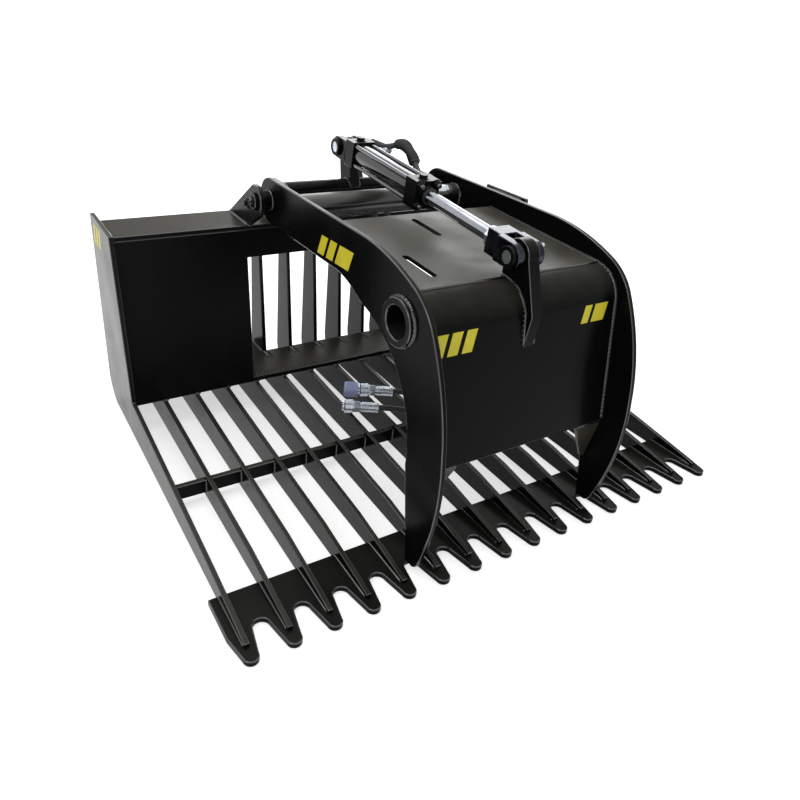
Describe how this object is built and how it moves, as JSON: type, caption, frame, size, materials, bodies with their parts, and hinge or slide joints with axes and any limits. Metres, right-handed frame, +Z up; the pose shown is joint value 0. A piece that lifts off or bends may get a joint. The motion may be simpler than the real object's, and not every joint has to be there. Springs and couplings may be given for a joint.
{
  "type": "rock grapple bucket",
  "caption": "Skid-steer rock bucket with a tined floor, open back window and a hydraulic clamping lid with two claws.",
  "frame": {"origin": "on the ground under the middle of the bucket", "axes": "+Z up, -Y towards the tips of the teeth, +X across the width"},
  "size_m": [1.189, 0.922, 0.6494],
  "materials": {
    "black_paint": "satin black paint on steel plate",
    "cylinder_paint": "gloss black paint",
    "bright_steel": "zinc plated",
    "chrome": "polished chrome",
    "hose_rubber": "matte black rubber",
    "cap_plastic": "matte plastic"
  },
  "bodies": {
    "bucket": {"cutting_edge": "black_paint", "tine_01": "black_paint", "tine_02": "black_paint", "tine_03": "black_paint", "tine_04": "black_paint", "tine_05": "black_paint", "tine_06": "black_paint", "tine_07": "black_paint", "tine_08": "black_paint", "tine_09": "black_paint", "tine_10": "black_paint", "tine_11": "black_paint", "tine_12": "black_paint", "tine_13": "black_paint", "tine_14": "black_paint", "tine_15": "black_paint", "tine_16": "black_paint", "cross_bar": "black_paint", "face_plate": "black_paint", "latch_ledge": "black_paint", "top_flange": "black_paint", "outer_ear_left": "black_paint", "outer_ear_right": "black_paint", "inner_ear_left": "black_paint", "inner_ear_right": "black_paint", "hinge_pin_left": "black_paint", "hinge_pin_right": "black_paint", "mount_tube": "black_paint", "cylinder_lug": "black_paint", "base_pin": "bright_steel", "drop_hose_a": "hose_rubber", "drop_hose_b": "hose_rubber", "coupler_a": "bright_steel", "coupler_b": "bright_steel", "coupler_cap": "cap_plastic"},
    "lid": {"lid_side_left": "black_paint", "lid_side_right": "black_paint", "hinge_bush_left": "black_paint", "hinge_bush_right": "black_paint", "lid_deck": "black_paint", "lid_front_panel": "black_paint", "lid_rear_tube": "black_paint", "lid_cross_pipe": "black_paint", "claw_gusset_left": "black_paint", "claw_gusset_right": "black_paint", "rod_lug": "black_paint"},
    "barrel": {"cylinder_base_cap": "cylinder_paint", "cylinder_barrel": "cylinder_paint", "cylinder_head": "cylinder_paint", "tie_rods": "bright_steel", "port_elbows": "bright_steel", "head_hose": "hose_rubber"},
    "rod": {"piston_rod": "chrome", "piston": "bright_steel", "rod_clevis": "cylinder_paint", "rod_pin": "bright_steel"}
  },
  "joints": [
    {"name": "lid_hinge", "type": "hinge", "parent": "bucket", "child": "lid", "pos_m": [0, 0.263, 0.522], "axis": [-1, 0, 0], "range_deg": [0, 50]},
    {"name": "cylinder_swing", "type": "hinge", "parent": "bucket", "child": "barrel", "pos_m": [0, 0.331, 0.617], "axis": [-1, 0, 0], "range_deg": [0, 46.8]},
    {"name": "rod_slide", "type": "slide", "parent": "barrel", "child": "rod", "axis": [0, -0.9965, -0.0838], "range_m": [-0.0928, 0]}
  ],
  "couplings": [
    {"joint": "cylinder_swing", "follows": "lid_hinge", "ratio": 0.931},
    {"joint": "rod_slide", "follows": "lid_hinge", "m_per_rad": -0.1058}
  ]
}
